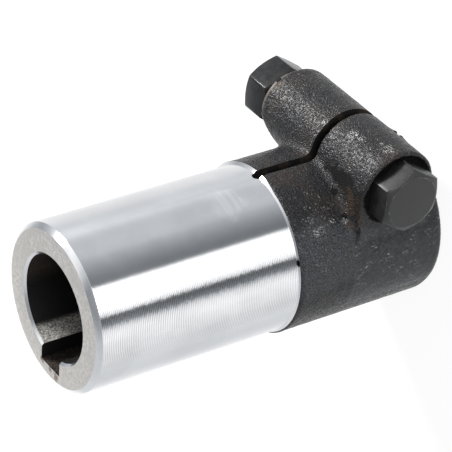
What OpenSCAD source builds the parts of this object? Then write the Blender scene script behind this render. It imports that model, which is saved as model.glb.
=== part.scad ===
// Split clamp reducing bushing: a turned sleeve with a keyed bore and a cast clamp head.
// It stands on the end of the clamp head. The bore runs along Z and the clamp bolt along X,
// with its head on the -X side. The slit is on the -Y side, the keyway is opposite to it.

/* [Sleeve] */
// Outside diameter of the turned sleeve
sleeve_d = 50; // [46:0.5:60]
// Length of the turned sleeve, from the shoulder to the keyed face
sleeve_len = 66; // [40:1:110]
// Chamfer round the outside of the keyed face
face_chamfer = 1.5; // [0.5:0.1:3]

/* [Bore and keyway] */
// Diameter of the bore
bore_d = 32; // [26:0.5:34]
// Chamfer at both mouths of the bore
bore_chamfer = 0.7; // [0.3:0.1:1.5]
// Width of the keyway
key_w = 10; // [6:0.5:12]
// Depth of the keyway outside the bore
key_depth = 4.2; // [2:0.1:5]

/* [Clamp head] */
// Height of the shoulder between the sleeve and the cast head
head_step = 1; // [0.5:0.1:3]
// Length of the cast head
head_len = 51.5; // [48:0.5:70]
// Rounding of the cast end edge
end_round = 2.5; // [0.5:0.25:3]
// Rounding of the shoulder's edge
shoulder_round = 0.4; // [0.1:0.05:0.5]
// Width of the slit
slit_w = 3; // [1.5:0.25:4.5]
// How far the slit runs past the shoulder into the sleeve
slit_over = 1.3; // [0:0.1:6]

/* [Barrel] */
// Metal between the bore and the bolt hole
bolt_wall = 2.7; // [2:0.1:4]
// Distance from the end of the head to the barrel
barrel_set = 7; // [6:0.25:9]
// How far the bolt's seat lies inside the side of the head
seat_in = 2; // [1:0.25:4]
// Height of the lip that stands round the upper half of the seat
lip_h = 1.2; // [0.6:0.1:3]
// Wall of the lip
lip_wall = 1.3; // [0.9:0.1:2]
// Room between the lip and the corners of the bolt head
lip_gap = 0.8; // [0.4:0.1:2]
// Turn of the lip about the bolt's axis, which leaves it shorter on the side of the head's end
lip_turn = 18; // [0:1:30]
// How far the nut's end of the barrel stands out past the head
nut_over = 1.8; // [0:0.1:6]
// Rounding of the barrel's cast edges
barrel_round = 1.2; // [0.5:0.1:2]
// Rounding of the lip's edge
lip_round = 0.6; // [0.2:0.1:0.8]
// How far the underside of the barrel is drawn in at the nut's end
nut_draft = 3.5; // [0:0.25:5]
// Radius of the cast fillet between the barrel and the head
root_fillet = 2.5; // [1:0.25:3]

/* [Bolt and nut] */
// Diameter of the bolt
bolt_d = 12; // [10:0.5:14]
// Clearance of the bolt in its hole, across the diameter
bolt_play = 1.2; // [0.4:0.1:2]
// Width across the flats of the bolt head and the nut
hex_af = 18; // [17:0.5:22]
// Height of the bolt head
bolt_head_h = 8; // [5:0.25:10]
// Turn of the bolt head about its axis
bolt_turn = 32; // [0:1:59]
// Height of the nut
nut_h = 10.8; // [8:0.2:14]
// Turn of the nut about its axis
nut_turn = 34; // [0:1:59]
// How far the bolt's end stands out of the nut
bolt_out = 0.4; // [0.2:0.1:6]
// Thickness of the spring washer
washer_t = 2.5; // [1.5:0.1:3.5]
// Width of the spring washer's section
washer_w = 3.6; // [2:0.1:3.8]
// Gap where the spring washer is split
washer_split = 1.4; // [0.5:0.1:3]

/* [Hidden] */
$fn = 96;
total_len = head_len + sleeve_len;
sleeve_r = sleeve_d / 2;
head_r = sleeve_r + head_step;
bore_r = bore_d / 2;
bolt_r = bolt_d / 2;
hole_r = (bolt_d + bolt_play) / 2;
hex_r = hex_af / sqrt(3);
seat_r = hex_r + lip_gap;
barrel_r = seat_r + lip_wall;
barrel_y = bore_r + bolt_wall + hole_r;
barrel_z = barrel_set + barrel_r;
seat_x = head_r - seat_in;
nut_end_x = head_r + nut_over;
nut_x = nut_end_x + washer_t;
// Length over which the lip fades out at each end
lip_fade = 4;
// Length over which the underside of the barrel is drawn in
draft_len = 13;
// Thread clearance between the nut and the bolt
thread_gap = 0.05;
// Chamfer of a hexagon's corners, its angle, and the chamfer of the bolt's end
hex_chamfer = 0.9;
hex_chamfer_angle = 30;
tip_chamfer = 1.2;
// Room between the spring washer and the bolt, and where its split points
washer_play = 0.3;
washer_angle = -120;
// Length that a long cutting tool runs past a face, and a short one
past = 5;
short_past = 1;
// The root fillet has its full radius up to root_full from the slit, then thins out over
// root_fade to root_least
root_full = nut_end_x - draft_len;
root_fade = draft_len / 2;
root_least = 0.3;
// It is lofted over this many sections, each with this many steps of arc
root_steps = 28;
arc_steps = 6;
// How far the loft is sunk into the metal on both sides of it, and how far its inner corner
// lies inside the head and inside the barrel
sunk = 0.06;
root_inside = [1.5, 2.5];

function arc(cx, cy, r, from, to, steps = 6) =
    [for (i = [0:steps]) let (a = from + (to - from) * i / steps) [cx + r * cos(a), cy + r * sin(a)]];

// Turns the Z axis of its children to lie along the bolt's axis, towards +X
module on_bolt_axis() translate([0, -barrel_y, barrel_z]) rotate([0, 90, 0]) children();

// Hexagon with corners chamfered at one end or at both
module hexagon(height, turn, both_ends) {
    flat_r = hex_af / 2 - hex_chamfer;
    out_r = hex_r + short_past;
    drop = (out_r - flat_r) * tan(hex_chamfer_angle);
    intersection() {
        rotate(turn) cylinder(r = hex_r, h = height, $fn = 6);
        rotate_extrude() polygon([[0, 0], [both_ends ? flat_r : out_r - short_past / 2, 0],
            [out_r, both_ends ? drop : 0], [out_r, height - drop], [flat_r, height], [0, height]]);
    }
}

// Revolved blank of the sleeve and the cast head
module blank() rotate_extrude() polygon(concat(
    [[0, 0]],
    arc(head_r - end_round, end_round, end_round, -90, 0),
    arc(head_r - shoulder_round, head_len - shoulder_round, shoulder_round, 0, 90),
    [[sleeve_r, head_len], [sleeve_r, total_len - face_chamfer], [sleeve_r - face_chamfer, total_len],
     [0, total_len]]));

// Half of the outline of a barrel's end at distance x from the slit, with its edge rounded
function barrel_end(x, edge = barrel_round) = concat([[0, 0], [barrel_r, 0]],
    arc(barrel_r - edge, x - edge, edge, 0, 90), [[0, x]]);

// Barrel towards the nut: round all the way, with its underside free of the head and drawn in
// by a cone whose axis lies nut_draft further out
module nut_barrel() on_bolt_axis() intersection() {
    rotate_extrude() polygon(barrel_end(nut_end_x));
    translate([0, -nut_draft, 0]) rotate_extrude() polygon([[0, 0],
        [barrel_r + nut_draft + short_past, 0],
        [barrel_r + nut_draft + short_past, nut_end_x - draft_len], [barrel_r, nut_end_x],
        [barrel_r - past, nut_end_x + past], [0, nut_end_x + past]]);
}

// Barrel towards the bolt head, with the web that fills the corner under it
module bolt_barrel() {
    mirror([1, 0, 0]) on_bolt_axis() rotate_extrude() polygon(barrel_end(seat_x));
    translate([0, 0, barrel_z]) rotate([90, 0, 0]) linear_extrude(barrel_y)
        for (side = [0, 1]) mirror([0, side]) polygon([for (p = barrel_end(seat_x)) [-p[1], p[0]]]);
    difference() {
        mirror([1, 0, 0]) on_bolt_axis() rotate_extrude()
            polygon(barrel_end(seat_x + lip_h, lip_round));
        mirror([1, 0, 0]) on_bolt_axis() translate([0, 0, seat_x]) cylinder(r = seat_r, h = lip_h + past);
        // the lip fades out about level with the bolt's axis
        translate([0, -barrel_y, barrel_z]) rotate([lip_turn, 0, 0])
            translate([0, 0, -barrel_r - past]) linear_extrude(2 * (barrel_r + past)) polygon([
                [-seat_x, lip_fade], [-seat_x - lip_h, 0], [-seat_x - lip_h - past, 0],
                [-seat_x - lip_h - past, 2 * barrel_r], [-seat_x, 2 * barrel_r]]);
    }
}

// The cast fillet touches the head at root_y and has its centre root_w above the bolt's axis.
// It thins out where the head falls away under the free barrel of the nut's side.
function root_r(x) = x < root_full ? root_fillet
    : max(root_least, root_fillet * (1 - (x - root_full) / root_fade));
function root_y(x) = -sqrt(head_r * head_r - x * x);
function on_web(x, y) = x < 0 && y > -barrel_y;
// Half width of the web at x, narrowed by the rounding of its edge
function web_w(x) = let (over = -x - seat_x + barrel_round)
    barrel_r - (over > 0 ? barrel_round - sqrt(max(0, barrel_round * barrel_round - over * over)) : 0);
function barrel_w(x, y) = on_web(x, y) ? web_w(x)
    : sqrt(max(0, barrel_r * barrel_r - pow(y + barrel_y, 2)));
function root_w(x, y, r) = on_web(x, y) ? web_w(x) + r
    : sqrt(pow(barrel_r + r, 2) - pow(y + barrel_y, 2));
function root_section(x) = let (r = root_r(x), touch = root_y(x), y = touch - r, w = root_w(x, y, r),
        end = on_web(x, y) ? -90 : atan2(-w, -barrel_y - y))
    concat([for (i = [0:arc_steps]) let (a = end * i / arc_steps,
                sink = i == 0 ? [sunk, 0] : i == arc_steps ? sunk * [cos(end), sin(end)] : [0, 0])
            [x, y + r * cos(a) + sink[0], w + r * sin(a) + sink[1]]],
        [[x, touch + root_inside[0], barrel_w(x, touch) - root_inside[1]]]);
module root_fillets() {
    x_end = root_full + root_fade;
    size = arc_steps + 2;
    points = [for (i = [0:root_steps]) each root_section(-seat_x + (seat_x + x_end) * i / root_steps)];
    faces = concat(
        [[for (j = [size - 1:-1:0]) j]],
        [for (i = [0:root_steps - 1], j = [0:size - 1]) let (k = (j + 1) % size, a = i * size)
            each [[a + j, a + k, a + size + k], [a + j, a + size + k, a + size + j]]],
        [[for (j = [0:size - 1]) root_steps * size + j]]);
    translate([0, 0, barrel_z]) for (side = [0, 1]) mirror([0, 0, side]) polyhedron(points, faces);
}

module bore_and_keyway() {
    mouth = [[0, -past], [bore_r + bore_chamfer, -past], [bore_r + bore_chamfer, 0], [bore_r, bore_chamfer]];
    rotate_extrude() polygon(concat(mouth, [for (i = [3:-1:0]) [mouth[i][0], total_len - mouth[i][1]]]));
    translate([-key_w / 2, 0, -past]) cube([key_w, bore_r + key_depth, total_len + 2 * past]);
}

module slit() {
    top = head_len + slit_over - slit_w / 2;
    reach = barrel_y + barrel_r + past;
    translate([-slit_w / 2, -reach, -past]) cube([slit_w, reach, top + past]);
    translate([0, 0, top]) rotate([90, 0, 0]) cylinder(d = slit_w, h = reach);
}

module bolt_hole() on_bolt_axis() translate([0, 0, -seat_x - past])
    cylinder(r = hole_r, h = seat_x + nut_end_x + 2 * past);

module bushing_body() color([0.42, 0.43, 0.44]) difference() {
    union() {
        blank();
        nut_barrel();
        bolt_barrel();
        root_fillets();
    }
    bore_and_keyway();
    slit();
    bolt_hole();
}

module clamp_bolt() color([0.16, 0.16, 0.18]) on_bolt_axis() {
    tip = nut_x + nut_h + bolt_out;
    translate([0, 0, -seat_x]) mirror([0, 0, 1]) hexagon(bolt_head_h, bolt_turn, false);
    rotate_extrude() polygon([[0, -seat_x - short_past], [bolt_r, -seat_x - short_past],
        [bolt_r, tip - tip_chamfer], [bolt_r - tip_chamfer, tip], [0, tip]]);
}

module spring_washer() color([0.14, 0.14, 0.15]) on_bolt_axis() translate([0, 0, nut_end_x])
    difference() {
        cylinder(r = bolt_r + washer_play + washer_w, h = washer_t);
        translate([0, 0, -short_past]) cylinder(r = bolt_r + washer_play, h = washer_t + 2 * short_past);
        rotate(washer_angle) translate([0, -washer_split / 2, -short_past])
            cube([2 * hex_r, washer_split, washer_t + 2 * short_past]);
    }

module clamp_nut() color([0.18, 0.18, 0.20]) on_bolt_axis() translate([0, 0, nut_x])
    difference() {
        hexagon(nut_h, nut_turn, true);
        translate([0, 0, -short_past]) cylinder(r = bolt_r + thread_gap, h = nut_h + 2 * short_past);
    }

bushing_body();
clamp_bolt();
spring_washer();
clamp_nut();
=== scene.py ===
"""Dresses the split clamp reducing bushing and sets it in a plain studio.

The casting is remeshed, roughened and then cut by its bore, slit and bolt hole, as the real
one is machined. The sleeve is turned on a lathe profile, the bolt and nut are forged hexagons.
"""

import math

import bmesh
import bpy
from mathutils import Matrix, Vector, noise


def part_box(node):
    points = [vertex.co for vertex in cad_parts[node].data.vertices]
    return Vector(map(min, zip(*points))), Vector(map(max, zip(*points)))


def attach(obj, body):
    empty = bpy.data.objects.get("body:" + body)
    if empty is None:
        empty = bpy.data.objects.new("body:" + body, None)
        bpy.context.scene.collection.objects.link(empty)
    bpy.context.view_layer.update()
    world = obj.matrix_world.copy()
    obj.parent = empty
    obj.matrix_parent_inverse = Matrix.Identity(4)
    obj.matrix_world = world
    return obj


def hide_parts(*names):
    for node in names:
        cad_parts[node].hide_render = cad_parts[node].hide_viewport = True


bl_info = {
    "name": "Split clamp reducing bushing",
    "version": (1, 0, 0),
    "blender": (4, 5, 0),
    "location": "View3D > Sidebar > Bushing",
    "description": "Builds the turned sleeve, the cast clamp head, its bolt and a studio",
    "category": "Add Mesh",
}

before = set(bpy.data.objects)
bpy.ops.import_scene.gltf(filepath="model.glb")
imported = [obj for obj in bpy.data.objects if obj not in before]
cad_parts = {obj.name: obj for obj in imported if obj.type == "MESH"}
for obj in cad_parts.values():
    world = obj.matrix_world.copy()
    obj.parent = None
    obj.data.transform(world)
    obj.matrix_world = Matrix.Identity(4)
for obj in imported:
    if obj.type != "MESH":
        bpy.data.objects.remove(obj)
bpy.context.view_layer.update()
BODY_LOW, BODY_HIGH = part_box("bushing_body")
BOLT_LOW, BOLT_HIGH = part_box("clamp_bolt")
NUT_LOW, NUT_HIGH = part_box("clamp_nut")
WASHER_LOW, WASHER_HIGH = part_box("spring_washer")
MM = 0.001
# Where the bolt's axis lies beside the bore
BOLT_Y = -25.3 * MM
# Distance at which vertices are merged
WELD = 1e-6
# How far the centre of a face may lie from the cut that made it
SNUG = 0.01 * MM


def length(name, default, description):
    return bpy.props.FloatProperty(
        name=name, description=description, default=default, unit="LENGTH", precision=5)


def colour(name, default, owner):
    return bpy.props.FloatVectorProperty(
        name=name, description="Colour of the " + owner, default=default, size=3,
        subtype="COLOR", min=0, max=1)


def vector(name, default, subtype, description):
    return bpy.props.FloatVectorProperty(
        name=name, description=description, default=default, size=3, subtype=subtype)


def share(name, default, description):
    return bpy.props.FloatProperty(
        name=name, description=description, default=default, min=0, max=1, subtype="FACTOR")


class BushingSizes(bpy.types.PropertyGroup):
    """Sizes of the bushing, in the frame of the CAD model"""

    sleeve_radius: length("Sleeve radius", 25 * MM, "Outside radius of the turned sleeve")
    head_radius: length("Head radius", BODY_HIGH[1], "Outside radius of the cast head")
    shoulder: length("Shoulder", 51.5 * MM, "Height of the shoulder above the end of the head")
    top: length("Top", BODY_HIGH[2], "Height of the keyed face")
    face_chamfer: length("Face chamfer", 1.5 * MM, "Chamfer round the keyed face")
    bore_radius: length("Bore radius", 16 * MM, "Radius of the bore")
    bore_chamfer: length("Bore chamfer", 0.7 * MM, "Chamfer at both mouths of the bore")
    key_width: length("Keyway width", 10 * MM, "Width of the keyway")
    key_floor: length("Keyway floor", 20.2 * MM, "Distance of the keyway's floor from the axis")
    slit_width: length("Slit width", 3 * MM, "Width of the slit")
    slit_top: length("Slit top", 52.8 * MM, "Height that the slit reaches")
    barrel_radius: length("Barrel radius", BOLT_Y - BODY_LOW[1], "Radius of the cross barrel")
    bolt_y: length("Bolt offset", BOLT_Y, "Place of the bolt's axis beside the bore")
    bolt_z: length("Bolt height", 19.49 * MM, "Height of the bolt's axis")
    hole_radius: length("Bolt hole radius", 6.6 * MM, "Radius of the bolt hole")
    bolt_radius: length("Bolt radius", 6 * MM, "Radius of the bolt")
    half_flats: length("Half across flats", 9 * MM, "Half the width of the hexagons across flats")
    seat: length("Seat", -24 * MM, "Place of the bolt head's seat along the bolt")
    thread_pitch: length("Thread pitch", 1.75 * MM, "Pitch of the bolt's thread")
    thread_start: length("Thread start", 11.5 * MM, "Where the bolt's thread starts")


class BushingFinish(bpy.types.PropertyGroup):
    """Colours and textures of the bushing"""

    steel: colour("Turned steel", (0.79, 0.80, 0.82), "turned sleeve")
    faced: colour("Faced end", (0.84, 0.805, 0.765), "faced end of the sleeve")
    casting: colour("Casting", (0.008, 0.008, 0.009), "rough casting")
    # Pale grains, which are partly painted glints of light on the grains
    casting_pale_and_glint: colour("Casting, pale grains", (0.20, 0.20, 0.20), "pale grains")
    brown: colour("Brown tint", (0.050, 0.034, 0.022), "thin brown film")
    rust: colour("Rust", (0.028, 0.018, 0.013), "rust in the corner")
    dry_rust: colour("Dry rust", (0.20, 0.12, 0.09), "rust beside the keyway")
    chip: colour("Chips", (0.42, 0.42, 0.41), "small bright chips")
    flat_side: colour("Smooth side", (0.040, 0.044, 0.050), "smooth side face")
    oxide: colour("Black oxide", (0.006, 0.006, 0.0065), "bolt and the nut")
    # Lighter edges of the bolt and nut: partly rubbed through, partly painted edge highlight
    edge_wear_and_highlight: colour("Rubbed edges", (0.08, 0.08, 0.085), "rubbed edges")
    washer: colour("Spring washer", (0.085, 0.068, 0.055), "spring washer")
    bore: colour("Bore wall", (0.005, 0.005, 0.005), "oily bore wall")
    # The bore's strips of grit and dried oil are painted highlight and sheen; the dried oil also
    # lies on the keyway's floor
    oil: colour("Dried oil", (0.13, 0.10, 0.08), "dried oil in the bore")
    grit: colour("Grit", (0.80, 0.77, 0.72), "grit that sticks to the bore wall")
    grain: length("Grain", 0.62 * MM, "Size of the casting's grains")
    grain_depth: length("Grain depth", 0.13 * MM, "Depth of the casting's grains")
    groove: length("Groove", 0.58 * MM, "Spacing of the turning marks that show")


class BushingStudio(bpy.types.PropertyGroup):
    """Camera, lamps and floor"""

    camera_place: vector("Camera place", (-0.4855, -0.4127, 0.4111), "TRANSLATION",
                         "Where the camera stands")
    camera_right: vector("Camera right", (-0.5438, -0.0722, -0.8361), "DIRECTION",
                         "Direction that is right in the picture")
    camera_down: vector("Camera down", (-0.5012, 0.8271, 0.2546), "DIRECTION",
                        "Direction that is down in the picture")
    lens: bpy.props.FloatProperty(
        name="Lens", description="Focal length on a 36 mm sensor", default=199.96,
        unit="CAMERA", min=20)
    sky: share("Sky", 0.75, "Strength of the soft light on the side that the sky lights")
    sky_shade: share("Sky shade", 0.12, "Strength of the soft light on the other side")
    key_power: bpy.props.FloatProperty(
        name="Key lamp", description="Power of the key lamp", default=10.5, min=0, unit="POWER")
    floor_hold: share("Floor shadow", 0.22, "How much of the shadow on the floor shows")


def sizes():
    return bpy.context.scene.bushing_sizes


def finish():
    return bpy.context.scene.bushing_finish


def studio():
    return bpy.context.scene.bushing_studio


# Marks and painted shade on the casting. Each has its place and its reach in millimetres and,
# where given, how many times further it reaches along each axis.
# Painted shade: darker patches under the barrel and along the corners and seams beside it
SHADE_SPOTS = (
    ((-14.5, -27.0, 31.3), 3.2, (3.5, 1, 1)), ((-19.5, -17.5, 33.2), 1.2),
    ((-13.8, -22.4, 33.4), 1.6), ((-24.1, -12.2, 31.1), 1.0, (1, 4, 1)),
)
FILM_SPOTS = (
    ((-19.4, -22.8, 32.0), 2.3), ((-18.6, -24.8, 31.8), 1.8), ((-20.0, -19.6, 32.6), 2.4),
    ((-21.6, -15.0, 32.3), 2.2),
)
RUST_SPOTS = (
    ((-22.8, -24.2, 31.6), 1.5), ((-23.6, -21.4, 31.6), 1.7), ((-23.8, -18.6, 31.4), 1.6),
    ((-23.9, -16.3, 31.2), 1.5),
)
WORN_SPOTS = (((27.3, -33.6, 28.5), 1.7), ((25.8, -34.9, 27.5), 1.6), ((25.5, -35.7, 26.4), 1.3))
CHIP_SPOTS = (
    ((-8.5, -36.2, 25.2), 2.2), ((-11.6, -36.7, 24.4), 1.3), ((-21.0, -37.6, 21.4), 2.4),
    ((-17.7, -37.5, 21.7), 1.0), ((2.3, -35.3, 27.0), 1.2), ((1.5, -35.8, 22.3), 1.0),
    ((-20.8, -15.6, 43.7), 1.5), ((-20.5, -15.9, 41.6), 1.1), ((-19.5, -17.2, 37.7), 1.1),
    ((-20.3, -16.4, 33.8), 1.2), ((-24.4, -9.3, 30.6), 1.4),
)
# Marks on the keyed face, beside the keyway
KEYWAY_RUST = (((4.6, 20.4, 117.5), 1.2), ((0.0, 21.0, 117.5), 1.0), ((-3.4, 21.6, 117.5), 1.6))
# Single marks, which also say how ragged their border is: a patch of pale grains on the
# casting, which is painted highlight, dust on the casting, a rubbed patch on the sleeve, and a
# long nick at the shoulder
PALE_HIGHLIGHT_SPOT = ((-20.5, -15.5, 43.0), 12, 0.8)
DUST_SPOT = ((-24.2, -8.0, 42.5), 14, 0.5, (1, 1, 1.3))
RUB_SPOT = ((-6.8, -24.0, 65.5), 6.5, 0.6)
NICK_SPOT = ((-23.3, -9.1, 51.2), 0.7, 0.5, (1.8, 2.2, 1))
# Where light grazes the turned sleeve, and only there the turning marks get painted shade
GRAZED_WAY = (-0.985, -0.174, 0)
# Painted shade, near black, on the seat of the bolt head, and on the bare walls of the slit
SEAT_SHADE = ((0.001, 0.001, 0.001), (0.005, 0.004, 0.004))
SLIT_SHADE = (0.004, 0.004, 0.004)


# Materials

def scaled(tone, factor):
    """A colour made darker or paler"""
    return [min(1, c * factor) for c in tone]


class Nodes:
    """A node tree, with short calls to add and join nodes"""

    def __init__(self, tree):
        self.tree = tree

    def add(self, kind, **given):
        """Adds a node. Names in capitals are properties of the node, others are its inputs."""
        node = self.tree.nodes.new(kind)
        for key, value in given.items():
            if key.isupper():
                setattr(node, key.lower(), value)
        for key, value in given.items():
            if not key.isupper():
                socket = node.inputs[int(key[1:])] if key[1:].isdigit() else self.named(node, key)
                self.feed(socket, value)
        return node

    @staticmethod
    def named(node, key):
        wanted = key.replace("_", " ").lower()
        return next(s for s in node.inputs if s.name.lower() == wanted and s.enabled)

    def feed(self, socket, value):
        if isinstance(value, bpy.types.Node):
            value = value.outputs[0]
        if isinstance(value, bpy.types.NodeSocket):
            self.tree.links.new(value, socket)
        elif socket.type == "RGBA" and len(value) == 3:
            socket.default_value = (*value, 1)
        else:
            socket.default_value = value

    def math(self, what, first, second, clamp=False):
        return self.add("ShaderNodeMath", OPERATION=what, USE_CLAMP=clamp, i0=first, i1=second)

    def times(self, first, second, clamp=False):
        return self.math("MULTIPLY", first, second, clamp)

    def vector(self, what, *values):
        return self.add("ShaderNodeVectorMath", OPERATION=what,
                        **{f"i{n}": value for n, value in enumerate(values)})


class Shader(Nodes):
    """A material and its node tree"""

    def __init__(self, name):
        self.material = bpy.data.materials.new(name)
        self.material.use_nodes = True
        super().__init__(self.material.node_tree)
        self.bsdf = self.tree.nodes["Principled BSDF"]
        self.object_place = self.add("ShaderNodeTexCoord").outputs["Object"]

    def surface(self, **given):
        for key, value in given.items():
            self.feed(self.named(self.bsdf, key), value)
        return self.material

    def glow(self, light):
        self.feed(self.tree.nodes["Material Output"].inputs["Surface"], light)

    def along(self, axis):
        """Place along X, Y or Z"""
        return self.add("ShaderNodeSeparateXYZ", Vector=self.object_place).outputs[axis]

    def towards(self, way):
        """How far a place lies towards a direction"""
        return self.vector("DOT_PRODUCT", self.object_place, way).outputs["Value"]

    def from_axis(self):
        """Distance from the axis of the bore"""
        flat = self.vector("MULTIPLY", self.object_place, (1, 1, 0))
        return self.vector("LENGTH", flat).outputs["Value"]

    def ramp(self, value, low, high, to_low=0.0, to_high=1.0):
        """Maps low..high of a value to to_low..to_high, smoothly"""
        return self.add(
            "ShaderNodeMapRange", INTERPOLATION_TYPE="SMOOTHSTEP", i0=value, i1=low, i2=high,
            i3=to_low, i4=to_high)

    def mix(self, amount, first, second):
        node = self.add("ShaderNodeMix", DATA_TYPE="RGBA")
        for index, value in ((0, amount), (6, first), (7, second)):
            self.feed(node.inputs[index], value)
        return node.outputs[2]

    def stretched(self, *scale):
        """Object coordinates scaled along X, Y and Z"""
        return self.add("ShaderNodeMapping", Vector=self.object_place, Scale=scale)

    def noise(self, size, detail=3.0, rough=0.55, place=None):
        return self.add(
            "ShaderNodeTexNoise", Vector=place or self.object_place, Scale=1 / size,
            Detail=detail, Roughness=rough).outputs[0]

    def bump(self, height, depth, strength=1.0):
        return self.add("ShaderNodeBump", Height=height, Distance=depth, Strength=strength)

    def spot(self, place, reach, ragged=0.5, longer=(1, 1, 1)):
        """1 at a place, in millimetres, falling to 0 at its reach, with a ragged border. Longer
        says how many times further the spot reaches along each axis."""
        reach *= MM
        near = self.vector("DIVIDE", self.object_place, longer)
        middle = [c * MM / times for c, times in zip(place, longer)]
        away = self.vector("DISTANCE", near, middle).outputs["Value"]
        border = self.add("ShaderNodeMath", OPERATION="MULTIPLY_ADD", i0=self.noise(reach * 0.7),
                          i1=2 * ragged * reach, i2=-ragged * reach)
        return self.ramp(self.math("ADD", away, border), reach, reach * 0.55)


def turned_steel():
    """Bright steel with the marks of the turning tool round the axis"""
    s, f, z = Shader("turned_steel"), finish(), sizes()
    rings = s.add("ShaderNodeTexWave", BANDS_DIRECTION="Z", Vector=s.object_place,
                  Scale=math.pi / 10 / f.groove, Distortion=0.6, Detail_Scale=0.3).outputs["Fac"]
    chatter = s.noise(0.9 * f.groove, 2, 0.5, s.stretched(0.2, 0.2, 1))
    broad = s.noise(13 * MM, 4, 0.6)
    # the grooves are painted darker only where light grazes them, on the side towards -X: painted
    # shade
    grazed = s.ramp(s.towards(GRAZED_WAY), 0.90 * z.sleeve_radius, 0.975 * z.sleeve_radius,
                    0.12, 1.0)
    patchy = s.ramp(s.noise(9 * MM, 3, 0.6, s.stretched(1, 1, 0.6)), 0.35, 0.65, 0.45, 1.0)
    groove_shade = s.times(s.ramp(rings, 0.25, 0.75), s.times(grazed, patchy))
    for edge, inner in ((z.top - z.face_chamfer, -0.3 * MM), (z.shoulder, 0.3 * MM)):
        groove_shade = s.times(groove_shade, s.ramp(s.along("Z"), edge, edge + inner))
    tone = s.mix(s.ramp(broad, 0.35, 0.65, 0, 0.5), f.steel, scaled(f.steel, 0.86))
    tone = s.mix(groove_shade, tone, scaled(f.steel, 0.66))
    scuff = s.noise(1.2 * f.groove, 2, 0.5, s.stretched(0.05, 0.05, 1))
    rub = s.times(s.spot(*RUB_SPOT), s.ramp(scuff, 0.35, 0.60, 0.3, 0.8))
    tone = s.mix(rub, tone, scaled(f.steel, 1.14))
    tone = s.mix(s.spot(*NICK_SPOT), tone, f.casting)
    return s.surface(
        Base_Color=tone, Metallic=1.0, Roughness=0.18, Anisotropic=0.95,
        Anisotropic_Rotation=0.25,
        Tangent=s.add("ShaderNodeTangent", DIRECTION_TYPE="RADIAL", AXIS="Z"),
        Normal=s.bump(s.times(chatter, s.ramp(grazed, 0, 1, 0.4, 1.5)), 0.03 * MM))


def faced_steel():
    """Faced end of the sleeve: matt, with faint rings round the bore"""
    s, f = Shader("faced_steel"), finish()
    rings = s.noise(0.5 * MM, 2, 0.6, s.add("ShaderNodeCombineXYZ", i0=s.from_axis()))
    mottle = s.noise(1.1 * MM, 5, 0.7)
    tone = s.mix(s.ramp(mottle, 0.35, 0.65), f.faced, scaled(f.faced, 0.76))
    tone = s.mix(s.ramp(s.noise(4 * MM, 3), 0.42, 0.62, 0, 0.6), tone, scaled(f.faced, 0.80))
    tone = s.mix(s.ramp(rings, 0.4, 0.7, 0, 0.3), tone, scaled(f.faced, 0.75))
    for place, reach in KEYWAY_RUST:
        tone = s.mix(s.times(s.spot(place, reach, 1.1), 0.7), tone, f.dry_rust)
    return s.surface(
        Base_Color=tone, Metallic=1.0, Roughness=0.42,
        Normal=s.bump(s.math("ADD", rings, mottle), 0.03 * MM, 0.4))


def bore_wall():
    """Dark, oily wall of the bore, with a strip of painted highlight speckled like grit and two of
    painted sheen tinted like dried oil along it
    """
    s, f, z = Shader("bore_wall"), finish(), sizes()
    grit = s.noise(0.55 * MM, 4, 0.7)
    inner = s.ramp(s.from_axis(), z.bore_radius + 0.25 * MM, z.bore_radius + 0.05 * MM)
    tone = f.bore
    # painted highlight and sheen in strips along the wall: bearing and half the spread of each
    # strip in degrees, how much of it shows, and its colour
    for bearing, spread, much, tint in (
            (65, 17, 0.9, f.grit), (325, 45, 0.50, f.oil), (300, 30, 0.35, f.oil)):
        out = s.towards((math.cos(math.radians(bearing)), math.sin(math.radians(bearing)), 0))
        edge = z.bore_radius * math.cos(math.radians(spread))
        painted_sheen = s.times(inner, s.ramp(out, edge, edge + 0.85 * (z.bore_radius - edge), 0, much))
        tone = s.mix(s.times(painted_sheen, s.ramp(grit, 0.36, 0.68, 0.15, 0.9)), tone, tint)
    floor = s.ramp(s.along("Y"), z.key_floor - 0.3 * MM, z.key_floor - 0.1 * MM, 0, 0.5)
    tone = s.mix(s.times(floor, s.ramp(grit, 0.44, 0.64, 0.1, 1.0)), tone, f.oil)
    return s.surface(
        Base_Color=tone, Roughness=0.5, Specular_IOR_Level=0.3,
        Normal=s.bump(grit, 0.10 * MM, 1.0))


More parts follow.
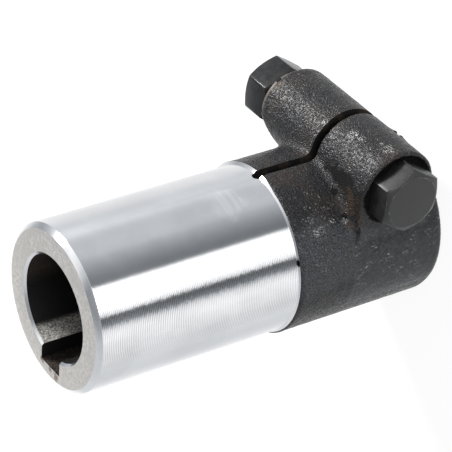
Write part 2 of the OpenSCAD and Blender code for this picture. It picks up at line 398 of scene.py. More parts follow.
def cast_skin():
    """Sand-cast skin: dark, with fine bright grains that are partly painted glints, brown film,
    rust, small chips, and painted shade under the barrel
    """
    s, f = Shader("cast_skin"), finish()
    cells = s.add("ShaderNodeTexVoronoi", Vector=s.object_place, Scale=1 / f.grain)
    peak = s.ramp(cells.outputs["Distance"], 0.62, 0.15)
    pick = s.add("ShaderNodeSeparateColor", Color=cells.outputs["Color"]).outputs["Red"]
    grain = s.noise(0.7 * f.grain, 3, 0.6)
    broad = s.noise(6 * MM, 3, 0.6)
    film = s.noise(11 * MM, 3, 0.6)
    # pale grains, partly painted glints; the patch adds more of them as painted highlight
    pale_and_glint = s.times(peak, s.ramp(pick, 0.65, 1.0, 0, 0.4))
    pale_and_glint = s.times(pale_and_glint, s.ramp(broad, 0.38, 0.60, 0.25, 1.0))
    pale_and_glint = s.times(pale_and_glint, s.ramp(s.spot(*PALE_HIGHLIGHT_SPOT), 0, 1, 0.8, 2.8), clamp=True)
    tone = s.mix(s.ramp(grain, 0.40, 0.70), f.casting, scaled(f.casting, 2.5))
    tone = s.mix(s.ramp(film, 0.45, 0.66, 0, 0.25), tone, f.brown)
    dusty = s.times(s.spot(*DUST_SPOT), s.ramp(grain, 0.40, 0.58, 0.1, 1))
    tone = s.mix(dusty, tone, scaled(f.flat_side, 1.25))
    tone = s.mix(pale_and_glint, tone, f.casting_pale_and_glint)
    fleck = s.noise(0.6 * f.grain, 2, 0.5)
    # painted shade: darker, rougher patches under the barrel and along the corners beside it
    painted_shade = 0.0
    for place, reach, *longer in SHADE_SPOTS:
        painted_shade = s.math("MAXIMUM", painted_shade, s.spot(place, reach, 0.8, *longer))
    tone = s.mix(painted_shade, tone, scaled(f.casting, 0.4))
    for tint, low, high, marks in (
            (f.brown, 0.30, 0.60, FILM_SPOTS), (f.rust, 0.30, 0.55, RUST_SPOTS),
            (f.washer, 0.35, 0.60, WORN_SPOTS), (f.chip, 0.52, 0.60, CHIP_SPOTS)):
        for place, reach in marks:
            mark = s.times(s.spot(place, reach, 1.0), s.ramp(fleck, low, high, 0, 0.9))
            tone = s.mix(mark, tone, tint)
    waves = s.times(s.noise(2.4 * MM, 2), 2.2)
    height = s.math("ADD", peak, s.math("ADD", grain, waves))
    # the side under the bolt head is smoother, with worn patches and a few fine scratches
    lower = s.times(s.ramp(s.along("X"), -21 * MM, -23.5 * MM),
                    s.ramp(s.along("Y"), -15 * MM, -12 * MM))
    side = s.math("MAXIMUM", lower, s.ramp(s.along("X"), -25.3 * MM, -25.8 * MM))
    side = s.times(side, s.ramp(s.along("Z"), 33 * MM, 30.5 * MM))
    wear = s.noise(1.3 * MM, 5, 0.65)
    flat = s.mix(s.ramp(wear, 0.35, 0.65), f.flat_side, scaled(f.flat_side, 0.4))
    scratch = s.noise(0.5 * MM, 3, 0.6, s.stretched(1, 1, 0.4))
    scratches = s.times(s.ramp(scratch, 0.57, 0.68, 0, 0.7), s.ramp(s.noise(4 * MM), 0.48, 0.60))
    flat = s.mix(scratches, flat, f.chip)
    tone = s.mix(s.times(side, 0.85), tone, flat)
    height = s.times(height, s.ramp(side, 0, 1, 1.0, 0.25))
    rough = s.math("MAXIMUM", s.ramp(pick, 0.2, 1, 0.40, 0.24), painted_shade)
    return s.surface(
        Base_Color=tone, Roughness=rough, Specular_IOR_Level=0.30,
        Normal=s.bump(height, f.grain_depth, 1.0))


def seat_shade():
    """Seat under the bolt head, painted black as shade"""
    s = Shader("seat_shade")
    oil = s.mix(s.noise(1.5 * MM), *SEAT_SHADE)
    return s.surface(Base_Color=oil, Roughness=0.8, Specular_IOR_Level=0.1)


def slit_wall_shade():
    """Walls of the slit and of the bolt hole, painted near black as shade, with brown patches"""
    s, f = Shader("slit_wall_shade"), finish()
    marks = s.noise(0.5 * MM, 3, 0.6, s.stretched(1, 0.1, 0.1))
    tone = s.mix(s.ramp(s.noise(3 * MM), 0.45, 0.7), SLIT_SHADE, scaled(f.brown, 0.5))
    return s.surface(Base_Color=tone, Roughness=0.7, Specular_IOR_Level=0.25,
                     Normal=s.bump(marks, 0.05 * MM, 0.5))


def black_oxide(name, base, smooth, shine, wear_and_highlight=None):
    """Black oxide on forged steel. The last argument, where given, is the colour of the edges,
    which are rubbed through in places and lighter as painted edge highlight.
    """
    s = Shader(name)
    cloud = s.noise(2.2 * MM, 4, 0.6)
    tone = s.mix(s.ramp(cloud, 0.35, 0.7), scaled(base, 0.75), scaled(base, 1.4))
    if wear_and_highlight:
        tone = s.mix(s.ramp(s.noise(1.8 * MM, 4, 0.7), 0.45, 0.62), tone, wear_and_highlight)
    return s.surface(
        Base_Color=tone, Roughness=s.ramp(cloud, 0.3, 0.7, smooth - 0.05, smooth + 0.05),
        Specular_IOR_Level=shine, Normal=s.bump(s.noise(0.4 * MM, 3), 0.02 * MM, 0.6))


def spring_steel():
    """Dull spring steel of the washer"""
    s, f = Shader("spring_steel"), finish()
    cloud = s.noise(1.4 * MM, 4, 0.6)
    tone = s.mix(s.ramp(cloud, 0.35, 0.7), f.washer, scaled(f.washer, 1.8))
    return s.surface(Base_Color=tone, Roughness=0.48, Normal=s.bump(cloud, 0.03 * MM, 0.5))


# Mesh building

def new_object(name, data):
    piece = bpy.data.objects.new(name, data)
    bpy.context.scene.collection.objects.link(piece)
    return piece


def opened(mesh):
    bm = bmesh.new()
    bm.from_mesh(mesh)
    return bm


def written(bm, mesh):
    bm.to_mesh(mesh)
    bm.free()
    return mesh


def from_bmesh(name, bm):
    return new_object(name, written(bm, bpy.data.meshes.new(name)))


def solid(name, bm):
    bmesh.ops.recalc_face_normals(bm, faces=bm.faces)
    return from_bmesh(name, bm)


def baked(piece):
    """The piece's evaluated mesh takes the place of its own, and its modifiers go"""
    bpy.context.view_layer.update()
    graph = bpy.context.evaluated_depsgraph_get()
    mesh = bpy.data.meshes.new_from_object(piece.evaluated_get(graph))
    old = piece.data
    piece.modifiers.clear()
    piece.data = mesh
    bpy.data.meshes.remove(old)
    return piece


def drop(*pieces):
    for piece in pieces:
        bpy.data.objects.remove(piece)


def rounded(points, radius, steps=3):
    """A closed outline with each corner rounded by an arc of steps chords"""
    done = []
    for i, here in enumerate(points):
        here = Vector(here)
        before, after = Vector(points[i - 1]) - here, Vector(points[(i + 1) % len(points)]) - here
        turn = before.angle(after)
        cut = min(radius / math.tan(turn / 2), before.length * 0.45, after.length * 0.45)
        start, end = here + before.normalized() * cut, here + after.normalized() * cut
        for step in range(steps + 1):
            t = step / steps
            done.append((start * (1 - t) + here * t) * (1 - t) + (here * (1 - t) + end * t) * t)
    return done


def on_bolt(along, radius, angle):
    """A place round the bolt's axis"""
    z = sizes()
    return along, z.bolt_y + radius * math.sin(angle), z.bolt_z - radius * math.cos(angle)


def net(bm, columns, closed=True):
    """Faces between neighbouring columns of vertices, all the way round. Closed columns are loops
    themselves."""
    deep = len(columns[0])
    for i, here in enumerate(columns):
        there = columns[(i + 1) % len(columns)]
        for j in range(deep if closed else deep - 1):
            k = (j + 1) % deep
            bm.faces.new((here[j], here[k], there[k], there[j]))


def prism(bm, first, second):
    """A solid between two outlines"""
    near, far = ([bm.verts.new(place) for place in outline] for outline in (first, second))
    bm.faces.new(near)
    bm.faces.new(far)
    for i in range(len(near)):
        j = (i + 1) % len(near)
        bm.faces.new((near[i], near[j], far[j], far[i]))


def lathe(name, outline, count, along_bolt=False):
    """Turns a closed outline of (radius, distance) pairs round the bore or round the bolt"""
    bm = bmesh.new()
    rings = []
    for a in [math.tau * i / count for i in range(count)]:
        places = [on_bolt(along, radius, a) if along_bolt else
                  (radius * math.cos(a), radius * math.sin(a), along) for radius, along in outline]
        rings.append([bm.verts.new(place) for place in places])
    net(bm, rings)
    bmesh.ops.remove_doubles(bm, verts=bm.verts, dist=WELD)
    return solid(name, bm)


def rod(name, wide, low, high, count, along_bolt=False):
    return lathe(name, [(0, low), (wide, low), (wide, high), (0, high)], count, along_bolt)


def block(name, low, high):
    bm = bmesh.new()
    bmesh.ops.create_cube(bm, size=1)
    low, high = Vector(low), Vector(high)
    for v in bm.verts:
        v.co = low + Vector(c * (v.co[i] + 0.5) for i, c in enumerate(high - low))
    return from_bmesh(name, bm)


def modify(piece, name, kind, **settings):
    change = piece.modifiers.new(name, kind)
    for key, value in settings.items():
        setattr(change, key, value)
    return change


def cut_by(piece, tools):
    for tool in tools:
        modify(piece, tool.name, "BOOLEAN", operation="DIFFERENCE", solver="EXACT", object=tool)
    baked(piece)
    drop(*tools)
    # the cuts leave a few faces without area, and a few that lie back to back
    bm = opened(piece.data)
    bmesh.ops.remove_doubles(bm, verts=bm.verts, dist=2 * WELD)
    bmesh.ops.dissolve_degenerate(bm, edges=bm.edges, dist=2 * WELD)
    bmesh.ops.triangulate(bm, faces=[face for face in bm.faces if len(face.verts) > 4])
    same = {}
    for face in bm.faces:
        same.setdefault(frozenset(v.index for v in face.verts), []).append(face)
    bmesh.ops.delete(bm, geom=[face for faces in same.values() if len(faces) > 1
                               for face in faces], context="FACES")
    written(bm, piece.data)


def shade(piece, angle=35):
    mesh = piece.data
    mesh.shade_smooth()
    mesh.set_sharp_from_angle(angle=math.radians(angle))


def dress(piece, material_of, materials):
    """Gives every face the material that material_of names for its centre and normal"""
    mesh = piece.data
    mesh.materials.clear()
    names = list(materials)
    for name in names:
        mesh.materials.append(materials[name])
    for face in mesh.polygons:
        face.material_index = names.index(material_of(face.center, face.normal))


def hand_over(piece, slot, *nodes):
    """Hangs a finished piece under the root body and hides the CAD nodes that it stands for"""
    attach(piece, "root")
    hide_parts(*nodes)


# Cutting tools, which the sleeve and the head share. They reach past the ends of the body.

PAST = 5 * MM


def slit_tool():
    z = sizes()
    half = z.slit_width / 2
    outline = [(-half, -PAST), (half, -PAST)] + [
        (half * math.cos(a), z.slit_top - half + half * math.sin(a))
        for a in [math.pi * i / 12 for i in range(13)]]
    bm = bmesh.new()
    # from inside the bore to beyond the barrel
    prism(bm, *[[(x, y, up) for x, up in outline] for y in (-5 * MM, -50 * MM)])
    return solid("slit_tool", bm)


def bore_tool():
    z = sizes()
    mouth = z.bore_radius + z.bore_chamfer
    return lathe("bore_tool", [
        (0, -PAST), (mouth, -PAST), (mouth, 0), (z.bore_radius, z.bore_chamfer),
        (z.bore_radius, z.top - z.bore_chamfer), (mouth, z.top), (mouth, z.top + PAST),
        (0, z.top + PAST)], 160)


def key_tool():
    z = sizes()
    half = z.key_width / 2
    return block("key_tool", (-half, 0, -PAST), (half, z.key_floor, z.top + PAST))


def hole_tool():
    return rod("hole_tool", sizes().hole_radius, -40 * MM, 40 * MM, 64, along_bolt=True)


def in_keyway(centre, room):
    """Whether the centre of a face lies between the walls of the keyway, up to its floor"""
    z = sizes()
    return abs(centre.x) < z.key_width / 2 + SNUG and 0 < centre.y < z.key_floor + room


# How far below the shoulder the two pieces of the body meet, and the cells of the remeshed skin
SEAM = 1.2 * MM
SKIN = 0.45 * MM
# Bearings in degrees between which the shoulder's edge turns from rough to clean, and how wide its
# clean ring is at least and at most, in millimetres
CLEANED = (237, 265)
CLEAN_RING = (0.50, 0.9)
# Waves, pits and grit of the cast skin: how many to the millimetre, and how deep in millimetres
WAVES = (0.33, 0.10)
PITS = (1.1, 0.16)
GRIT = (2.4, 0.05)


class MESH_OT_bushing_sleeve(bpy.types.Operator):
    """Turns the sleeve with its shoulder, cuts the bore, keyway and slit"""

    bl_idname = "mesh.bushing_sleeve"
    bl_label = "Turned sleeve"

    def execute(self, context):
        z = sizes()
        foot = z.shoulder - SEAM
        outline = rounded([
            (z.bore_radius - 2 * MM, foot), (z.head_radius, foot),
            *[(z.head_radius - step * MM, z.shoulder - (1 - step) * MM)
              for step in [i / 12 for i in range(12)]],
            (z.sleeve_radius, z.shoulder), (z.sleeve_radius, z.top - z.face_chamfer),
            (z.sleeve_radius - z.face_chamfer, z.top), (z.bore_radius - 2 * MM, z.top),
        ], 0.10 * MM, 2)
        sleeve = lathe("turned_sleeve", outline, 320)
        cut_by(sleeve, [bore_tool(), key_tool(), slit_tool()])
        shade(sleeve)

        def material_of(centre, normal):
            away = math.hypot(centre.x, centre.y)
            if away < z.bore_radius + 0.05 * MM or in_keyway(centre, 0.3 * MM):
                return "bore"
            if abs(centre.x) <= z.slit_width / 2 + SNUG and centre.y < 0 and \
                    centre.z < z.slit_top and abs(normal.z) < 0.99 and abs(normal.y) < 0.5:
                return "slit"
            # the tool that turned the sleeve cleaned the shoulder fully only beside the slit
            if centre.z < z.shoulder - 0.02 * MM:
                bearing = math.degrees(math.atan2(centre.y, centre.x)) % 360
                clean = (bearing - CLEANED[0]) / (CLEANED[1] - CLEANED[0])
                clean = min(CLEAN_RING[1], max(CLEAN_RING[0], clean))
                return "turned" if away < z.sleeve_radius + clean * MM else "skin"
            return "faced" if normal.z > 0.9 else "turned"

        dress(sleeve, material_of, {
            "turned": turned_steel(), "faced": faced_steel(), "bore": bore_wall(),
            "slit": slit_wall_shade(), "skin": cast_skin()})
        hand_over(sleeve, "cast_iron_body", "bushing_body")
        return {"FINISHED"}


def blank():
    """The CAD body below the shoulder with its cuts filled, as it leaves the mould"""
    z = sizes()
    bm = opened(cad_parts["bushing_body"].data)
    bmesh.ops.remove_doubles(bm, verts=bm.verts, dist=2 * WELD)
    top = z.shoulder - SEAM + 0.1 * MM
    cut = bmesh.ops.bisect_plane(
        bm, geom=bm.verts[:] + bm.edges[:] + bm.faces[:], plane_co=(0, 0, top),
        plane_no=(0, 0, 1), clear_outer=True)["geom_cut"]
    bmesh.ops.triangle_fill(
        bm, use_beauty=True, edges=[e for e in cut if isinstance(e, bmesh.types.BMEdge)])
    for plug in (bore_plug(top), slit_plug(top), hole_plug()):
        bm.from_mesh(plug.data)
        drop(plug)
    return written(bm, bpy.data.meshes.new("cast_head"))


def bore_plug(top):
    """Fills the bore and the keyway"""
    z = sizes()
    wide = math.hypot(z.key_width / 2, z.key_floor) + 0.7 * MM
    return rod("bore_plug", wide, 0, top, 96)


def slit_plug(top):
    """Fills the slit with the outline of the head and of the barrel"""
    z = sizes()
    half = z.slit_width / 2 + 0.4 * MM
    front = -math.sqrt(z.head_radius ** 2 - half ** 2)
    bm = bmesh.new()
    outline = rounded([(-10 * MM, 0), (front, 0), (front, top), (-10 * MM, top)], 2.2 * MM, 5)
    ring = [(z.bolt_y + z.barrel_radius * math.sin(a), z.bolt_z + z.barrel_radius * math.cos(a))
            for a in [math.tau * i / 96 for i in range(96)]]
    for points in (outline, ring):
        prism(bm, *[[(x, y, up) for y, up in points] for x in (-half, half)])
    return solid("slit_plug", bm)


def hole_plug():
    z = sizes()
    return rod("hole_plug", z.hole_radius + 1 * MM, z.seat, BODY_HIGH[0], 64, along_bolt=True)


def roughen(mesh):
    """Smooths the steps of the remeshing and sinks low waves and pits into the skin"""
    z = sizes()
    bm = opened(mesh)
    for _ in range(3):
        bmesh.ops.smooth_vert(bm, verts=bm.verts, factor=0.5, use_axis_x=True,
                              use_axis_y=True, use_axis_z=True)
    bm.normal_update()
    for v in bm.verts:
        place = v.co / MM
        # the end face, the shoulder and the smooth side get less of it
        machined = v.co.z < 0.35 * MM or v.co.z > z.shoulder - 0.9 * MM
        side = v.co.x < -23.3 * MM and v.normal.x < -0.7
        amount = 0.15 if machined else 0.25 if side else 1.0
        wave = noise.noise(place * WAVES[0]) * 0.5 + 0.5
        pits = max(0.0, noise.noise(place * PITS[0] + Vector((7, 3, 1))) - 0.05)
        grit = noise.noise(place * GRIT[0]) * 0.5 + 0.5
        v.co -= v.normal * amount * MM * (WAVES[1] * wave + PITS[1] * pits + GRIT[1] * grit)
    written(bm, mesh)


class MESH_OT_bushing_head(bpy.types.Operator):
    """Casts the clamp head: rough skin first, then bore, slit and bolt hole are cut"""

    bl_idname = "mesh.bushing_head"
    bl_label = "Cast clamp head"

    def execute(self, context):
        z = sizes()
        head = new_object("cast_head", blank())
        cell = SKIN
        modify(head, "skin", "REMESH", mode="VOXEL", voxel_size=cell)
        baked(head)
        roughen(head.data)
        cut_by(head, [bore_tool(), key_tool(), slit_tool(), hole_tool()])
        shade(head, 40)
        half = z.slit_width / 2
        seat = z.half_flats / math.cos(math.radians(30)) + 0.8 * MM

        def material_of(centre, normal):
            if math.hypot(centre.x, centre.y) < z.bore_radius + z.bore_chamfer + 0.02 * MM:
                return "bore"
            if in_keyway(centre, 0.1 * MM) and abs(normal.z) < 0.9:
                return "bore"
            around = math.hypot(centre.y - z.bolt_y, centre.z - z.bolt_z)
            if around < z.hole_radius + 0.05 * MM or \
                    abs(centre.x) < half + 0.03 * MM and abs(normal.x) > 0.9:
                return "slit"
            outward = (centre.y - z.bolt_y) * normal.y + (centre.z - z.bolt_z) * normal.z
            # the seat round the bolt head, where shade falls, gets painted shade
            if around < seat and centre.x < z.seat + 1 * MM and outward < 0.3 * around:
                return "seat"
            return "skin"

        dress(head, material_of, {
            "skin": cast_skin(), "bore": bore_wall(), "slit": slit_wall_shade(), "seat": seat_shade()})
        hand_over(head, "cast_iron_body", "bushing_body")
        return {"FINISHED"}


def hexagon(name, start, height, turn, smooth, shine, wear_and_highlight, hole=None):
    """A forged hexagon on the bolt's axis, turned by some degrees, with its corners chamfered at
    the far end, or at both ends round a hole. A negative height goes towards -X."""
    z = sizes()
    per_side, bevel = 10, 0.9 * MM
    flat = z.half_flats - bevel
    corner = z.half_flats / math.cos(math.radians(30))
    size, slope, way = abs(height), math.tan(math.radians(30)), math.copysign(1, height)

    def profile(r):
        """Radius and height of the vertices over one point of the hexagon, r from the axis"""
        far = [(r, size - (r - flat) * slope), (flat, size)]
        if not hole:
            return [(r, 0), *far]
        return [(hole, bevel), (hole + bevel, 0), (flat, 0), (r, (r - flat) * slope), *far,
                (hole + bevel, size), (hole, size - bevel)]

    bm = bmesh.new()
    grid = []
    for side in range(6):
        a0, a1 = (math.radians(turn + 60 * (side + k)) for k in (0, 1))
        for t in [step / per_side for step in range(per_side)]:
            up = corner * (math.cos(a0) * (1 - t) + math.cos(a1) * t)
            out = corner * (math.sin(a0) * (1 - t) + math.sin(a1) * t)
            angle = math.atan2(out, up)
            grid.append([bm.verts.new(on_bolt(start + way * along, r, angle))
                         for r, along in profile(math.hypot(up, out))])
    net(bm, grid, closed=bool(hole))
    if not hole:
        bm.faces.new([column[0] for column in grid])
        bm.faces.new([column[-1] for column in grid])
    piece = solid(name, bm)
    f = finish()
    # the bevelled edges get a lighter oxide, partly wear and partly painted edge highlight
    for part, rubbed_and_highlit in (("_oxide", None), ("_edges", scaled(f.edge_wear_and_highlight, wear_and_highlight))):
        piece.data.materials.append(black_oxide(name + part, f.oxide, smooth, shine, rubbed_and_highlit))
    modify(piece, "rubbed edges", "BEVEL", limit_method="ANGLE", angle_limit=math.radians(24),
           width=0.14 * MM, segments=2, material=1)
    baked(piece)
    shade(piece, 50)
    return piece


def node_group(name, **inputs):
    """A geometry node tree with one geometry output and the named inputs, each a number or, where
    None is given, a material"""
    tree = bpy.data.node_groups.new(name, "GeometryNodeTree")
    for label, value in inputs.items():
        kind = "NodeSocketMaterial" if value is None else "NodeSocketFloat"
        socket = tree.interface.new_socket(label.replace("_", " "), in_out="INPUT",
                                           socket_type=kind)
        if value is not None:
            socket.default_value = value
    tree.interface.new_socket("Geometry", in_out="OUTPUT", socket_type="NodeSocketGeometry")
    return Nodes(tree), tree.nodes.new("NodeGroupInput").outputs


def grown(name, tree, values):
    """The plain mesh that a geometry node tree makes from the given input values"""
    piece = new_object(name, bpy.data.meshes.new(name))
    change = modify(piece, name, "NODES", node_group=tree)
    for item in tree.interface.items_tree:
        if item.in_out == "INPUT" and item.name in values:
            change[item.identifier] = values[item.name]
    return baked(piece)


def swept(group, given, path, section):
    """Sweeps a section along a path, makes the mesh real and gives it the material"""
    sweep = group.add("GeometryNodeCurveToMesh", Curve=path, Profile_Curve=section, Fill_Caps=True)
    real = group.add("GeometryNodeRealizeInstances", i0=sweep)
    paint = group.add("GeometryNodeSetMaterial", i0=real, Material=given["Material"])
    group.add("NodeGroupOutput", i0=paint)
    return group.tree


def thread_tree():
    """A ridge that winds round the Z axis, for the thread of a bolt"""
    group, given = node_group("thread_ridge", Core_radius=5.2 * MM, Turns=10.0, Pitch=1.75 * MM,
                              Ridge=0.8 * MM, Material=None)
    spiral = group.add(
        "GeometryNodeCurveSpiral", Resolution=48, Rotations=given["Turns"],
        Height=group.times(given["Turns"], given["Pitch"]),
        Start_Radius=given["Core radius"], End_Radius=given["Core radius"])
    section = group.add("GeometryNodeCurvePrimitiveCircle", Resolution=4, Radius=given["Ridge"])
    return swept(group, given, spiral, section)


def washer_tree():
    """A bar of rectangular section that runs round the Z axis and leaves a gap"""
    group, given = node_group("split_ring", Middle_radius=8.1 * MM, Sweep=6.1, Width=3.6 * MM,
                              Thickness=2.5 * MM, Start=0.0, Material=None)
    path = group.add(
        "GeometryNodeCurveArc", Resolution=96, Radius=given["Middle radius"],
        Start_Angle=given["Start"], Sweep_Angle=given["Sweep"])
    section = group.add("GeometryNodeCurvePrimitiveQuadrilateral", Width=given["Width"],
                        Height=given["Thickness"])
    fillet = group.add("GeometryNodeFilletCurve", MODE="POLY", Curve=section, Count=3,
                       Radius=0.25 * MM)
    return swept(group, given, path, fillet)


def onto_bolt_axis(mesh, start):
    """Turns a mesh on the Z axis onto the bolt's axis, so that its height runs along +X"""
    z = sizes()
    mesh.transform(Matrix(
        ((0, 0, 1, start), (0, 1, 0, z.bolt_y), (-1, 0, 0, z.bolt_z), (0, 0, 0, 1))))


def joined(name, pieces):
    """One object of several, which keeps their materials"""
    bpy.ops.object.select_all(action="DESELECT")
    for piece in pieces:
        piece.select_set(True)
    bpy.context.view_layer.objects.active = pieces[0]
    bpy.ops.object.join()
    pieces[0].name = name
    return pieces[0]


def outwards(mesh):
    bm = opened(mesh)
    bmesh.ops.remove_doubles(bm, verts=bm.verts, dist=WELD)
    bmesh.ops.recalc_face_normals(bm, faces=bm.faces)
    written(bm, mesh)


class MESH_OT_bushing_bolt(bpy.types.Operator):
    """Forges the clamp bolt: chamfered head, plain shank and rolled thread"""

    bl_idname = "mesh.bushing_bolt"
    bl_label = "Clamp bolt"

    def execute(self, context):
        z = sizes()
        head = hexagon("bolt_head", z.seat, BOLT_LOW[0] - z.seat, turn=32, smooth=0.42,
                       shine=0.58, wear_and_highlight=1.0)
        core = z.bolt_radius - 0.95 * MM
        tip = BOLT_HIGH[0]
        shank = lathe("bolt_shank", rounded([
            (0, z.seat - 1 * MM), (z.bolt_radius, z.seat - 1 * MM),
            (z.bolt_radius, z.thread_start - 1 * MM), (core, z.thread_start),
            (core, tip - 0.5 * MM), (core - 0.5 * MM, tip), (0, tip)], 0.1 * MM),
            64, along_bolt=True)
        shank.data.materials.append(head.data.materials[0])
        shade(shank)
        turns = (tip - 1.1 * MM - z.thread_start) / z.thread_pitch
        thread = grown("bolt_thread", thread_tree(), {
            "Core radius": core, "Turns": turns, "Pitch": z.thread_pitch,
            "Ridge": z.bolt_radius - core, "Material": head.data.materials[0]})
        onto_bolt_axis(thread.data, z.thread_start)
        outwards(thread.data)
        bolt = joined("clamp_bolt_dressed", [head, shank, thread])
        hand_over(bolt, "black_oxide_steel", "clamp_bolt")
        return {"FINISHED"}


class MESH_OT_bushing_nut(bpy.types.Operator):
    """Forges the nut, chamfered at both ends"""

    bl_idname = "mesh.bushing_nut"
    bl_label = "Clamp nut"

    def execute(self, context):
        z = sizes()
        nut = hexagon("clamp_nut_dressed", NUT_LOW[0], NUT_HIGH[0] - NUT_LOW[0], turn=34,
                      smooth=0.26, shine=0.46, wear_and_highlight=0.4, hole=z.bolt_radius - 0.6 * MM)
        hand_over(nut, "black_oxide_steel", "clamp_nut")
        return {"FINISHED"}


class MESH_OT_bushing_washer(bpy.types.Operator):
    """Bends the spring washer from square bar"""

    bl_idname = "mesh.bushing_washer"
    bl_label = "Spring washer"

    def execute(self, context):
        z = sizes()
        outer = (WASHER_HIGH[1] - WASHER_LOW[1]) / 2
        inner = z.bolt_radius + 0.3 * MM
        middle = (outer + inner) / 2
        gap = 1.4 * MM / middle
        washer = grown("spring_washer_dressed", washer_tree(), {
            "Middle radius": middle, "Sweep": math.tau - gap, "Width": outer - inner,
            "Thickness": WASHER_HIGH[0] - WASHER_LOW[0], "Start": math.radians(-120) + gap / 2,
            "Material": spring_steel()})
        onto_bolt_axis(washer.data, (WASHER_LOW[0] + WASHER_HIGH[0]) / 2)
        outwards(washer.data)
        shade(washer)
        hand_over(washer, "spring_steel", "spring_washer")
        return {"FINISHED"}


# Brightness of the reflecting dome: for each elevation in degrees, pairs of bearing in degrees
# and brightness
DOME = (
    (-6, (
        (-180, 0.22), (-173, 0.11), (-169, 0.07), (-166, 1.20), (-160, 1.35), (-132, 1.30),
        (-129, 0.14), (-120, 0.20), (-114, 0.26), (-108, 0.33), (-102, 0.42), (-96, 0.51),
        (-90, 0.63), (-83, 0.66), (-54, 0.62), (-46, 0.61), (-37, 0.71), (-27, 0.82),
        (-16, 0.93), (-2, 1.00), (20, 1.06), (59, 1.12), (81, 0.89), (95, 0.80), (107, 0.81),
        (125, 0.91), (134, 0.95), (149, 1.12), (162, 1.25), (169, 1.22), (175, 0.98),
        (178, 0.50))),
    (12, (
        (-180, 0.80), (-60, 0.90), (-30, 0.70), (-18, 0.60), (-7, 0.40), (5, 0.55), (15, 0.70),
        (34, 0.95), (55, 0.98), (70, 0.77), (86, 0.85), (150, 0.80))),
    (36, (
        (-180, 0.60), (-100, 0.80), (-63, 1.35), (-46, 1.35), (-31, 1.10), (-15, 0.60),
        (5, 0.35), (45, 0.45), (70, 0.85), (104, 0.74), (143, 0.65))),
    (58, (
        (-180, 0.28), (-125, 0.28), (-108, 0.45), (-84, 0.95), (-60, 1.30), (-20, 0.60),
        (30, 0.50), (90, 0.80), (140, 0.65), (165, 0.33))),
)
# Radius of the dome and height of its centre, in metres
DOME_RADIUS = 0.9
DOME_CENTRE = 0.06
# Brightness of the floor, which makes it white in the picture
FLOOR_WHITE = 1.15
# Direction of the strongest soft light
SKY_WAY = (-0.45, -0.80, -0.40)
# Each lamp: its place and size in metres, and its share of the key lamp's power
LAMPS = {
    "key": ((0.53, -0.54, 0.47), 0.24, 1.0),
    "fill": ((-0.66, -0.46, 0.20), 0.5, 0.23),
}
# What the lamps point at
AIM = (0, 0, 0.05)


def add_camera():
    t = studio()
    data = bpy.data.cameras.new("photo_camera")
    data.lens, data.sensor_width = t.lens, 36
    data.clip_start, data.clip_end = 0.01, 50
    camera = new_object("photo_camera", data)
    right, down = Vector(t.camera_right).normalized(), Vector(t.camera_down).normalized()
    columns = (right, -down, right.cross(-down))
    camera.matrix_world = Matrix.Translation(t.camera_place) @ Matrix(
        [[c[i] for c in columns] for i in range(3)]).to_4x4()
    bpy.context.scene.camera = camera


def add_floor():
    t = studio()
    bm = bmesh.new()
    bmesh.ops.create_circle(bm, cap_ends=True, segments=64, radius=6)
    floor = from_bmesh("floor", bm)
    floor.location.z = BODY_LOW[2]
    floor.visible_glossy = False
    s = Shader("pale_floor")
    s.surface(Base_Color=(0.93, 0.93, 0.93), Roughness=0.9, Specular_IOR_Level=0.0)
    white = s.add("ShaderNodeEmission", Color=(1, 1, 1), Strength=FLOOR_WHITE)
    seen = s.add("ShaderNodeLightPath").outputs["Is Camera Ray"]
    s.glow(s.add("ShaderNodeMixShader", i0=s.times(seen, 1 - t.floor_hold), i1=s.bsdf, i2=white))
    floor.data.materials.append(s.material)


def add_dome():
    """A dome of soft panels, which only reflections see"""
    bm = bmesh.new()
    bmesh.ops.create_uvsphere(bm, u_segments=96, v_segments=48, radius=DOME_RADIUS)
    dome = from_bmesh("dome", bm)
    dome.location.z = DOME_CENTRE
    for ray in ("camera", "diffuse", "transmission", "volume_scatter", "shadow"):
        setattr(dome, "visible_" + ray, False)
    s = Shader("dome_light")
    bearing = s.add("ShaderNodeTexGradient", GRADIENT_TYPE="RADIAL", Vector=s.object_place)
    unit = s.vector("NORMALIZE", s.object_place)
    rise = s.add("ShaderNodeSeparateXYZ", Vector=unit).outputs["Z"]
    whole, below = None, None
    for elevation, row in DOME:
        ramp = s.add("ShaderNodeValToRGB", Fac=bearing.outputs["Fac"])
        stops = ramp.color_ramp.elements
        stops.remove(stops[-1])
        for i, (angle, bright) in enumerate(row):
            stop = stops[0] if i == 0 else stops.new((angle + 180) / 360)
            stop.position = (angle + 180) / 360
            blue = 0.08 * max(0, 1 - bright)
            stop.color = (bright * (1 - blue), bright, bright * (1 + blue), 1)
        height = math.sin(math.radians(elevation))
        row_light = ramp.outputs["Color"]
        whole = s.mix(s.ramp(rise, below, height), whole, row_light) if whole else row_light
        below = height
    s.glow(s.add("ShaderNodeEmission", Color=whole))
    dome.data.materials.append(s.material)


def add_sky():
    t = studio()
    world = bpy.data.worlds.new("studio_sky")
    world.use_nodes = True
    sky = Nodes(world.node_tree)
    # diffuse light is strongest from above the slit and weak from beyond the keyed face
    way = sky.vector("DOT_PRODUCT", sky.add("ShaderNodeTexCoord").outputs["Generated"],
                     Vector(SKY_WAY).normalized()).outputs["Value"]
    soft = sky.add("ShaderNodeMapRange", i0=way, i1=-0.7, i2=0.9, i3=t.sky_shade, i4=t.sky)
    diffuse = sky.add("ShaderNodeLightPath").outputs["Is Diffuse Ray"]
    back = sky.tree.nodes["Background"]
    sky.feed(back.inputs["Strength"], sky.add("ShaderNodeMix", i0=diffuse, i2=1.0, i3=soft))
    sky.feed(back.inputs["Color"], (1, 1, 1))
    bpy.context.scene.world = world


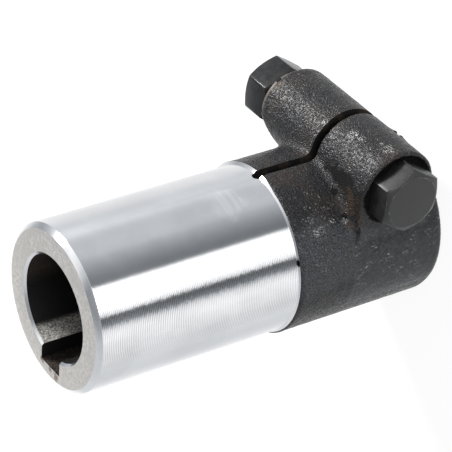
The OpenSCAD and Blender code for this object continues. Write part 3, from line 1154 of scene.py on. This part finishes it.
def add_lamps():
    for name, (place, size, part) in LAMPS.items():
        data = bpy.data.lights.new(name, "AREA")
        data.shape, data.size, data.energy = "DISK", size, studio().key_power * part
        lamp = new_object(name, data)
        lamp.location = place
        way = Vector(AIM) - Vector(place)
        lamp.rotation_euler = way.to_track_quat("-Z", "Y").to_euler()


class SCENE_OT_bushing_studio(bpy.types.Operator):
    """Sets the camera, the floor, the lamps and the reflecting dome"""

    bl_idname = "scene.bushing_studio"
    bl_label = "Studio"

    def execute(self, context):
        for step in (add_camera, add_floor, add_dome, add_sky, add_lamps):
            step()
        context.scene.view_settings.view_transform = "Standard"
        return {"FINISHED"}


OPERATORS = (
    MESH_OT_bushing_sleeve, MESH_OT_bushing_head, MESH_OT_bushing_bolt, MESH_OT_bushing_nut,
    MESH_OT_bushing_washer, SCENE_OT_bushing_studio,
)
GROUPS = {
    "bushing_sizes": BushingSizes, "bushing_finish": BushingFinish,
    "bushing_studio": BushingStudio,
}


class VIEW3D_PT_bushing(bpy.types.Panel):
    """Lists the steps and the settings of the bushing"""

    bl_label = "Reducing bushing"
    bl_idname = "VIEW3D_PT_bushing"
    bl_space_type = "VIEW_3D"
    bl_region_type = "UI"
    bl_category = "Bushing"

    def draw(self, context):
        for operator in OPERATORS:
            self.layout.operator(operator.bl_idname)
        for name, group in GROUPS.items():
            box = self.layout.box()
            for setting in group.__annotations__:
                box.prop(getattr(context.scene, name), setting)


CLASSES = (*GROUPS.values(), *OPERATORS, VIEW3D_PT_bushing)


def register():
    for cls in CLASSES:
        bpy.utils.register_class(cls)
    for name, group in GROUPS.items():
        setattr(bpy.types.Scene, name, bpy.props.PointerProperty(type=group))


def unregister():
    for name in GROUPS:
        delattr(bpy.types.Scene, name)
    for cls in reversed(CLASSES):
        bpy.utils.unregister_class(cls)


def main():
    register()
    bpy.ops.mesh.bushing_sleeve()
    bpy.ops.mesh.bushing_head()
    bpy.ops.mesh.bushing_bolt()
    bpy.ops.mesh.bushing_nut()
    bpy.ops.mesh.bushing_washer()
    bpy.ops.scene.bushing_studio()


if __name__ == "__main__":
    main()
